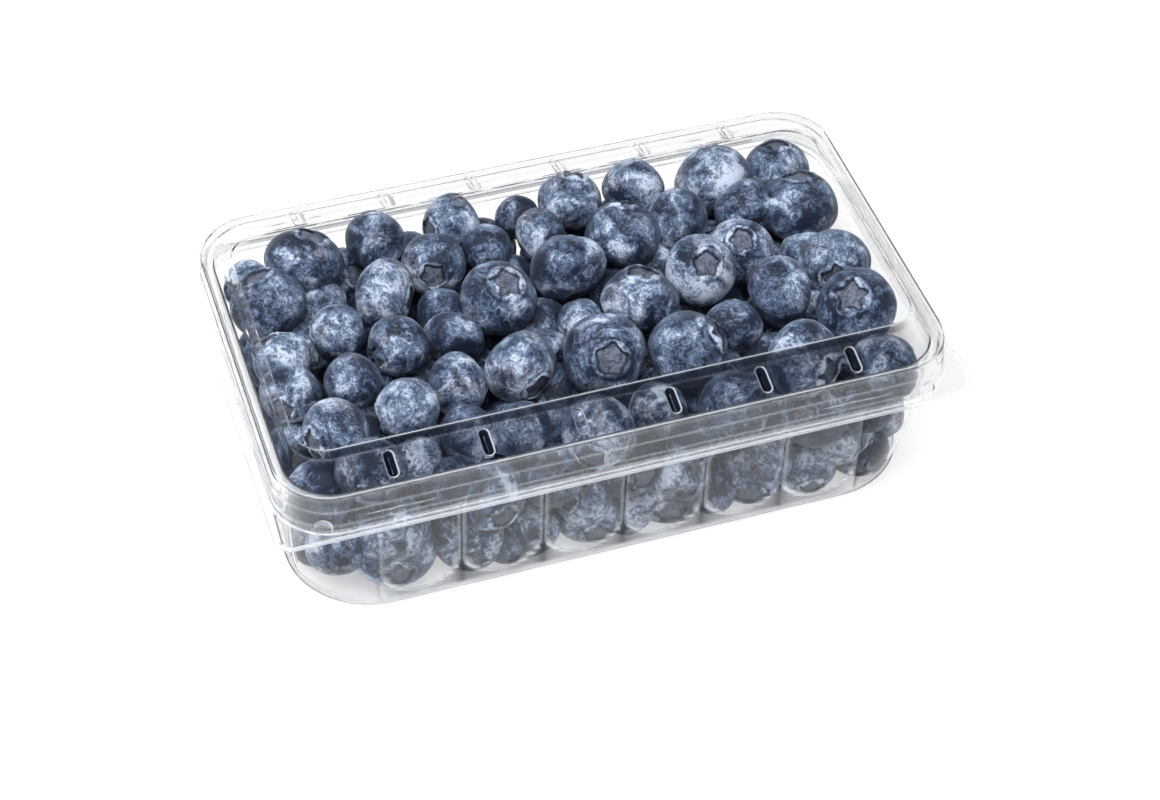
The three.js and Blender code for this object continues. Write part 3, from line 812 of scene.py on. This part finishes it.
def slot_lining(pack, side, place, shine):
    """The slot's raised lip, with a painted highlight as strong as its shine, and sides that draw in towards
    a narrow slit.
    A slot with full shine has its sides in painted shade."""
    half = pack.slot_width / MM / 2
    shell = Shell("slot_lining")
    first = []
    for grow, lift, painted_reflection, painted_shade in SLOT_SECTION:
        points, glints = [], []
        for p, out in stadium(half + grow, SLOT_HALF + grow):
            y = place.y + p.y
            points.append(Vector((place.x + p.x, y, slope_z(RIM_Y - abs(y)) + lift)))
            # Painted highlight on the lip, stronger on its right side and on the side towards the pack's
            # edge.
            glints.append(shine * painted_reflection * (0.22 + 0.5 * smooth(0.4 + out.x * 0.9 + out.y * side * 0.5)))
        # Only a slot with full shine has its sides in painted shade.
        shell.station(points, glints, painted_shade if shine > 0.9 else 0.0)
        first = first or list(shell.edges)
    bmesh.ops.bridge_loops(shell.bm, edges=first + shell.edges)
    bmesh.ops.recalc_face_normals(shell.bm, faces=shell.bm.faces)
    bmesh.ops.transform(shell.bm, matrix=Matrix.Scale(MM, 4), verts=shell.bm.verts)
    return shell.bm


def lug(side):
    """An arched stiffener that stands on the flange against the skirt, near a front corner."""
    bm = bmesh.new()
    bmesh.ops.create_cone(
        bm, cap_ends=True, segments=28, radius1=2.5, radius2=2.2, depth=1.5,
        matrix=Matrix.Rotation(math.pi / 2, 4, "X"))
    whole = bm.verts[:] + bm.edges[:] + bm.faces[:]
    bmesh.ops.bisect_plane(bm, geom=whole, plane_co=(0, 0, 0), plane_no=(0, 0, -1), clear_outer=True)
    open_edges = [e for e in bm.edges if e.is_boundary]
    made = bmesh.ops.extrude_edge_only(bm, edges=open_edges)["geom"]
    lower = [g for g in made if isinstance(g, bmesh.types.BMVert)]
    foot = [g for g in made if isinstance(g, bmesh.types.BMEdge) and g.is_boundary]
    bmesh.ops.translate(bm, vec=(0, 0, -1.9), verts=lower)
    bmesh.ops.contextual_create(bm, geom=foot)
    bmesh.ops.recalc_face_normals(bm, faces=bm.faces)
    sharp = [e for e in bm.edges if e.calc_face_angle(0.0) > 0.6]
    bmesh.ops.bevel(bm, geom=sharp, offset=0.25, affect="EDGES", segments=2, profile=0.5, material=-1)
    painted_reflection = bm.verts.layers.float.new("painted_reflection")
    bm.verts.layers.float.new("painted_shade")
    for v in bm.verts:
        # Painted highlight along the outer curve of the arch's front face.
        v[painted_reflection] = 0.2 if v.co.y < -0.4 and v.co.z > -1.5 and v.co.xz.length > 2.1 else 0.0
    y = -(RIM_Y + SKIRT_DRAFT - corner_fall(LUG_X, RIM_X + SKIRT_DRAFT, RIM_R)) - 0.1
    place = Matrix.Translation((side * LUG_X, y, LID_FLANGE_Z + 1.95)) @ Matrix.Rotation(side * 0.35, 4, "Z")
    bmesh.ops.transform(bm, matrix=place, verts=bm.verts)
    bmesh.ops.transform(bm, matrix=Matrix.Scale(MM, 4), verts=bm.verts)
    return bm


class PUNNET_OT_lid(bpy.types.Operator):
    """Build the vented lid with its raised middle, skirt and flange"""

    bl_idname = "punnet.lid"
    bl_label = "Lid"

    def execute(self, context):
        pack = context.scene.punnet_pack
        made = lid_shell(pack)
        cutters = slot_cutters(pack)
        cut = made.modifiers.new("slots", "BOOLEAN")
        cut.operation = "DIFFERENCE"
        cut.solver = "EXACT"
        cut.object = cutters
        apply_modifiers(made)
        bpy.data.objects.remove(cutters)
        bm = bmesh.new()
        bm.from_mesh(made.data)
        parts = [lug(side) for side in (-1, 1)]
        for side, i, place in each_slot():
            # The back slots get no painted highlight or shade; the open front slot gets a weaker highlight
            # and no shade.
            shine = 0.0 if side > 0 else 0.4 if i == OPEN_SLOT else 1.0
            parts.append(slot_lining(pack, side, place, shine))
        for part in parts:
            mesh = bpy.data.meshes.new("lid_part")
            part.to_mesh(mesh)
            part.free()
            bm.from_mesh(mesh)
            bpy.data.meshes.remove(mesh)
        bm.to_mesh(made.data)
        bm.free()
        made.data.polygons.foreach_set("use_smooth", [True] * len(made.data.polygons))
        made.data.materials.clear()
        made.data.materials.append(pack_material())
        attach(made, "lid")
        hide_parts("lid")
        return {"FINISHED"}


def pack_material():
    return bpy.data.materials.get("clear_plastic") or clear_plastic(bpy.context.scene.punnet_pack)


# ---- berries ----


CROWN_RINGS = (
    # distance from the crown's axis between sepals and on a sepal, then height over the skin there
    (0.000, 0.000, -0.100, -0.100),
    (0.090, 0.060, -0.105, -0.100),
    (0.190, 0.120, -0.118, -0.102),
    (0.290, 0.175, -0.130, -0.104),
    (0.375, 0.215, -0.130, -0.090),
    (0.425, 0.250, -0.100, -0.045),
    (0.458, 0.300, -0.025, 0.012),
    (0.478, 0.385, 0.010, 0.030),
    (0.502, 0.470, 0.018, 0.026),
    (0.545, 0.540, -0.008, -0.006),
    (0.610, 0.610, 0.000, 0.000),
)


def berry_template(segments, rings, rng):
    """A unit berry with its crown at the top, as a bmesh with its crown and sepal shares."""
    bm = bmesh.new()
    crown = bm.verts.layers.float.new("crown")
    sepal = bm.verts.layers.float.new("sepal")
    bm.verts.layers.float.new("tone_and_shade")
    bmesh.ops.create_uvsphere(bm, u_segments=segments, v_segments=rings, radius=1.0)
    lengths = [rng.uniform(0.7, 1.15) for _ in range(5)]
    spread = rng.uniform(0.86, 1.06)
    lean = rng.uniform(-0.01, 0.04)
    folded = rng.uniform(0.25, 1.0)
    last = len(CROWN_RINGS) - 1
    offset = Vector((rng.uniform(-50, 50), rng.uniform(-50, 50), rng.uniform(-50, 50)))
    for v in bm.verts:
        polar = math.acos(max(-1.0, min(1.0, v.co.z)))
        turn = math.atan2(v.co.y, v.co.x) % (2 * math.pi)
        index = round(polar / math.pi * rings)
        cell = turn / (2 * math.pi) * 5
        share = min(1.0, 1.5 * (1 - abs(2 * (cell % 1.0) - 1))) ** 0.8 * lengths[int(cell) % 5]
        if index <= last:
            gap_r, tip_r, gap_h, tip_h = CROWN_RINGS[index]
            ragged = 0.05 * noise.noise(Vector((math.cos(turn), math.sin(turn), 0)) * 4.0 + offset)
            rho = (lerp(gap_r, tip_r, share * folded) + (ragged if 3 < index < 8 else 0)) * spread
            height = lerp(gap_h, tip_h, share) + (lean * share if 4 < index < 8 else 0)
            skin = math.sqrt(max(0.0, 1 - rho * rho))
            v.co = Vector((rho * math.cos(turn), rho * math.sin(turn), skin + height))
            v[crown] = 1.0 if index < 5 else 0.5 if index == 5 else 0.0
            # Sepal shares: high on the raised ring, low in the groove beyond it and between the sepals,
            # where the skin's painted highlight and painted shade go.
            v[sepal] = 1.0 if 6 < index < 9 else 0.0
            if 3 < index < 7:
                v[sepal] = share - 2.2 * max(0.0, 1 - share)
            if index == 9:
                v[sepal] = -1.6
        else:
            start = math.asin(0.6 * spread)
            t = (index - last) / (rings - last)
            polar = lerp(start, math.pi, t)
            wide = math.sin(polar)
            v.co = Vector((wide * math.cos(turn), wide * math.sin(turn), math.cos(polar)))
            dimple = math.exp(-((math.pi - polar) / 0.22) ** 2)
            v.co *= 1 - 0.06 * dimple
            v[crown] = 0.8 * math.exp(-((math.pi - polar) / 0.12) ** 2)
        lump = noise.noise(v.co * 1.1 + offset)
        v.co *= 1 + 0.07 * lump
    return bm


def add_berry(target, template, place, width, squat, turn, lean, spin, tone_and_shade, layer):
    """Copies a template berry into the heap, with its crown turned to face one way."""
    before = len(target.verts)
    target.from_mesh(template)
    target.verts.ensure_lookup_table()
    fresh = target.verts[before:]
    half = width / 2
    spin_turn = Matrix.Rotation(spin, 4, "Z")
    shape = Matrix.Diagonal((half, half, half * squat, 1.0))
    heading = math.radians(turn)
    axis = Vector((math.cos(heading), math.sin(heading), 0.0))
    tilt = Matrix.Rotation(math.radians(lean), 4, Vector((-axis.y, axis.x, 0.0)))
    bmesh.ops.transform(target, matrix=Matrix.Translation(place) @ tilt @ shape @ spin_turn, verts=fresh)
    for v in fresh:
        v[layer] = tone_and_shade


# How far the wall comes in at a groove, from its crests, and the highest middle of a hidden berry.
FLUTE_NEAR = 1.4
PACKED_TOP = 34.0


def lid_under(inset):
    """Height of the lid's underside at a distance in from the ring's outline."""
    if inset > 12.7:
        return PANEL_Z - 1.1
    t = min(1.0, max(0.0, inset / 11.1))
    return lerp(RIM_Z, PANEL_Z - 2.1, t) - 1.1


def reaches(width, squat, turn, lean):
    """How far a squat berry reaches along x, y and z, with its crown turned and leant."""
    turn, lean = math.radians(turn), math.radians(lean)
    axis = (math.cos(turn) * math.sin(lean), math.sin(turn) * math.sin(lean), math.cos(lean))
    return [width / 2 * math.sqrt(1 - (1 - squat * squat) * n * n) for n in axis]


def settle(place, width, squat, turn, lean):
    """Keeps a berry inside the tray's fluted walls, over its floor and under the lid."""
    out_x, out_y, out_z = reaches(width, squat, turn, lean)
    wall = 3.65 + FLUTE_NEAR * (1 - flute_bulge(place.x, max(place.z, 9.0)))
    hx = RIM_X - 4.6 - out_x
    hy = RIM_Y - wall - out_y
    r = max(0.0, lerp(23.0, 14.0, min(1.0, max(0.0, place.z / TRAY_FLANGE_Z))) - max(out_x, out_y))
    x = min(hx, max(-hx, place.x))
    y = min(hy, max(-hy, place.y))
    corner = Vector((math.copysign(hx - r, x), math.copysign(hy - r, y)))
    out = Vector((x, y)) - corner
    if out.x * corner.x > 0 and out.y * corner.y > 0 and out.length > r:
        x, y = corner + out.normalized() * r
    from_edge = min(RIM_Y - abs(y), RIM_X - abs(x) + 5.7)
    near = lid_under(from_edge - width * 0.3) - out_z * 0.8
    top = min(lid_under(from_edge) - out_z, near)
    return Vector((x, y, max(0.6 + out_z, min(place.z, top))))


def loose_berries(rng):
    """Berries strewn in layers from the floor up to the top layer, to be pushed apart."""
    berries = []
    for layer in range(4):
        for row in range(6):
            for i in range(10 if layer else 9):
                width = min(21.5, max(13.5, rng.gauss(17.4, 1.7)))
                place = Vector((-76 + (i + 0.5 * (row % 2)) * 16.8, -42 + row * 16.8, 9.0 + layer * 9.5))
                place += Vector((rng.uniform(-3, 3), rng.uniform(-3, 3), rng.uniform(-3, 3)))
                if layer % 2 == row % 2 or layer == 0:
                    squat = rng.uniform(0.8, 0.97)
                    turn = rng.uniform(0, 360)
                    lean = rng.uniform(20, 160)
                    berries.append([place, width, squat, turn, lean])
    return berries


def relax(fixed, loose, rounds):
    """Pushes overlapping loose berries apart, round by round, and keeps them in the pack."""
    for _ in range(rounds):
        for i, berry in enumerate(loose):
            push = Vector()
            for other in fixed + loose[:i] + loose[i + 1:]:
                gap = berry[0] - other[0]
                need = (berry[1] + other[1]) / 2 * 0.93
                if 0.01 < gap.length < need:
                    push += gap.normalized() * (need - gap.length) * 0.5
            berry[0] = settle(berry[0] + push * 0.8, *berry[1:])
            berry[0].z = min(berry[0].z, PACKED_TOP)


def build_heap(name, berries, templates, rng, tone_and_shade_range=(-1.0, 1.0)):
    bm = bmesh.new()
    for layer in ("crown", "sepal", "tone_and_shade"):
        bm.verts.layers.float.new(layer)
    tone_and_shade = bm.verts.layers.float["tone_and_shade"]
    for place, width, squat, turn, lean in berries:
        add_berry(bm, rng.choice(templates), place, width, squat, turn, lean,
                  rng.uniform(0, 2 * math.pi), rng.uniform(*tone_and_shade_range), tone_and_shade)
    bmesh.ops.transform(bm, matrix=Matrix.Scale(MM, 4), verts=bm.verts)
    return object_from(bm, name)


def template_meshes(segments, rings, count, rng):
    made = []
    for i in range(count):
        bm = berry_template(segments, rings, rng)
        mesh = bpy.data.meshes.new(f"berry_{segments}_{i}")
        bm.to_mesh(mesh)
        bm.free()
        made.append(mesh)
    return made


class PUNNET_OT_berries(bpy.types.Operator):
    """Fill the tray with whole blueberries"""

    bl_idname = "punnet.berries"
    bl_label = "Berries"

    def execute(self, context):
        fruit = context.scene.punnet_fruit
        rng = random.Random(fruit.seed)
        top = [[settle(Vector(b[:3]), *b[3:]), *b[3:]] for b in TOP_BERRIES]
        front = [[settle(Vector(b[:3]), *b[3:]), *b[3:]] for b in FRONT_BERRIES]
        packed = loose_berries(rng)
        relax(top + front, packed, 40)
        fine = template_meshes(50, 32, 6, rng)
        plain = template_meshes(30, 20, 4, rng)
        skin = berry_skin(fruit)
        # The hidden packed berries get lower tones, with less bloom and so darker skins: painted shade for
        # the heap's deep gaps. The front berries get higher tones, with more bloom.
        heaps = (
            build_heap("berries_top", top, fine, rng),
            build_heap("berries_front", front, fine, rng, (0.0, 1.4)),
            build_heap("berries_packed", packed, plain, rng, (-2.6, -0.8)),
        )
        for mesh in fine + plain:
            bpy.data.meshes.remove(mesh)
        for heap in heaps:
            heap.data.materials.append(skin)
            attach(heap, "tray")
            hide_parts("blueberries")
        return {"FINISHED"}


class PUNNET_OT_core(bpy.types.Operator):
    """Build a block in the middle of the heap, dark with painted shade, seen only through the gaps"""

    bl_idname = "punnet.core"
    bl_label = "Core"

    def execute(self, context):
        bm = bmesh.new()
        size = Matrix.Diagonal((136.0, 64.0, 16.0, 1.0))
        bmesh.ops.create_cube(bm, size=1.0, matrix=Matrix.Translation((0, 0, 19.0)) @ size)
        bmesh.ops.bevel(
            bm, geom=bm.edges[:], offset=6.0, affect="EDGES", segments=4, profile=0.5, material=-1)
        bmesh.ops.subdivide_edges(bm, edges=bm.edges[:], cuts=4, use_grid_fill=True)
        for v in bm.verts:
            v.co += Vector((1, 1, 1.2)) * noise.noise(v.co * 0.09) * 2.5
        bmesh.ops.recalc_face_normals(bm, faces=bm.faces)
        bmesh.ops.transform(bm, matrix=Matrix.Scale(MM, 4), verts=bm.verts)
        made = object_from(bm, "heap_core")
        made.data.materials.append(heap_painted_shade(context.scene.punnet_fruit))
        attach(made, "tray")
        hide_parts("blueberries")
        return {"FINISHED"}


# ---- hinge ----


class PUNNET_OT_hinge(bpy.types.Operator):
    """Build the thin fold that joins the back edges of the two flanges"""

    bl_idname = "punnet.hinge"
    bl_label = "Hinge"

    def execute(self, context):
        bm = bmesh.new()
        painted_reflection = bm.verts.layers.float.new("painted_reflection")
        start = bm.verts.new((-76.0, HINGE_Y - FOLD_IN, TRAY_FLANGE_Z - 0.3))
        end = bm.verts.new((76.0, HINGE_Y - FOLD_IN, TRAY_FLANGE_Z - 0.3))
        edge = bm.edges.new((start, end))
        bmesh.ops.subdivide_edges(bm, edges=[edge], cuts=30)
        bmesh.ops.spin(
            bm, geom=bm.verts[:] + bm.edges[:], cent=(0, HINGE_Y - FOLD_IN, HINGE_Z), axis=(1, 0, 0),
            angle=math.pi, steps=8)
        # A faint painted reflection all over the fold.
        for v in bm.verts:
            v[painted_reflection] = 0.15
        bmesh.ops.remove_doubles(bm, verts=bm.verts, dist=0.001)
        bmesh.ops.recalc_face_normals(bm, faces=bm.faces)
        bmesh.ops.transform(bm, matrix=Matrix.Scale(MM, 4), verts=bm.verts)
        made = object_from(bm, "hinge_fold")
        thicken = made.modifiers.new("sheet", "SOLIDIFY")
        thicken.thickness = 0.0002
        apply_modifiers(made)
        made.data.materials.append(pack_material())
        low = (0, HINGE_Y * MM, (HINGE_Z - 0.25) * MM)
        high = (0, HINGE_Y * MM, (HINGE_Z + 0.25) * MM)
        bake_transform(made, "tray", "lid", start=low, end=high)
        return {"FINISHED"}


# ---- studio ----


def soft_light(name, power, size, location, target=(0.0, 0.0, 0.03)):
    lamp = bpy.data.lights.new(name, "AREA")
    lamp.shape = "RECTANGLE"
    lamp.size, lamp.size_y = size
    lamp.energy = power
    made = bpy.data.objects.new(name, lamp)
    made.location = location
    made.rotation_euler = (Vector(target) - Vector(location)).to_track_quat("-Z", "Y").to_euler()
    bpy.context.scene.collection.objects.link(made)
    return made


def room(studio):
    """A dim room with pale walls, which fade out above the horizon."""
    world = bpy.data.worlds.new("room")
    world.use_nodes = True
    tree = world.node_tree
    place = tree.nodes.new("ShaderNodeTexCoord")
    split = tree.nodes.new("ShaderNodeSeparateXYZ")
    fade = tree.nodes.new("ShaderNodeMapRange")
    fade.interpolation_type = "SMOOTHSTEP"
    values = (math.sin(math.radians(9.0)), math.sin(math.radians(24.0)), studio.horizon, studio.sky)
    for socket, value in zip(list(fade.inputs)[1:5], values):
        socket.default_value = value
    tree.links.new(place.outputs["Generated"], split.inputs[0])
    tree.links.new(split.outputs["Z"], fade.inputs[0])
    tree.links.new(fade.outputs[0], tree.nodes["Background"].inputs["Strength"])
    tree.nodes["Background"].inputs["Color"].default_value = (1.0, 1.0, 1.0, 1.0)
    return world


class PUNNET_OT_studio(bpy.types.Operator):
    """Build the pale floor, the soft lights and the camera"""

    bl_idname = "punnet.studio"
    bl_label = "Studio"

    def execute(self, context):
        scene = context.scene
        studio = scene.punnet_studio
        bm = bmesh.new()
        bmesh.ops.create_grid(bm, x_segments=2, y_segments=2, size=4.0)
        bmesh.ops.translate(bm, vec=(0, 0, -0.0001), verts=bm.verts)
        ground = object_from(bm, "studio_ground")
        ground.data.materials.append(studio_ground(studio))
        soft_light("overhead", studio.overhead, (0.9, 0.7), (-0.15, -0.25, 1.1))
        soft_light("left", studio.side, (0.7, 0.7), (-0.75, 0.1, 0.95))
        scene.world = room(studio)
        scene.view_settings.view_transform = "Standard"
        lens = bpy.data.cameras.new("camera")
        lens.lens = 81.1
        lens.sensor_width = 36.0
        lens.clip_start = 0.01
        camera = bpy.data.objects.new("camera", lens)
        camera.location = (-0.169025, -0.483205, 0.541619)
        camera.rotation_euler = Euler([math.radians(a) for a in (43.862, -1.319, -18.365)])
        scene.collection.objects.link(camera)
        scene.camera = camera
        return {"FINISHED"}


class PUNNET_PT_parts(bpy.types.Panel):
    bl_label = "Punnet"
    bl_idname = "PUNNET_PT_parts"
    bl_space_type = "VIEW_3D"
    bl_region_type = "UI"
    bl_category = "Punnet"

    def draw(self, context):
        for group in (context.scene.punnet_pack, context.scene.punnet_fruit, context.scene.punnet_studio):
            for key in group.__annotations__:
                self.layout.prop(group, key)
        for step in STEPS:
            self.layout.operator(step.bl_idname)


STEPS = (
    PUNNET_OT_studio, PUNNET_OT_core, PUNNET_OT_berries, PUNNET_OT_tray, PUNNET_OT_lid, PUNNET_OT_hinge)
CLASSES = (PunnetPack, PunnetFruit, PunnetStudio, *STEPS, PUNNET_PT_parts)


def register():
    for cls in CLASSES:
        bpy.utils.register_class(cls)
    bpy.types.Scene.punnet_pack = bpy.props.PointerProperty(type=PunnetPack)
    bpy.types.Scene.punnet_fruit = bpy.props.PointerProperty(type=PunnetFruit)
    bpy.types.Scene.punnet_studio = bpy.props.PointerProperty(type=PunnetStudio)


def unregister():
    del bpy.types.Scene.punnet_studio
    del bpy.types.Scene.punnet_fruit
    del bpy.types.Scene.punnet_pack
    for cls in reversed(CLASSES):
        bpy.utils.unregister_class(cls)


def main():
    register()
    bpy.ops.punnet.studio()
    bpy.ops.punnet.core()
    bpy.ops.punnet.berries()
    bpy.ops.punnet.tray()
    bpy.ops.punnet.lid()
    bpy.ops.punnet.hinge()


if __name__ == "__main__":
    main()
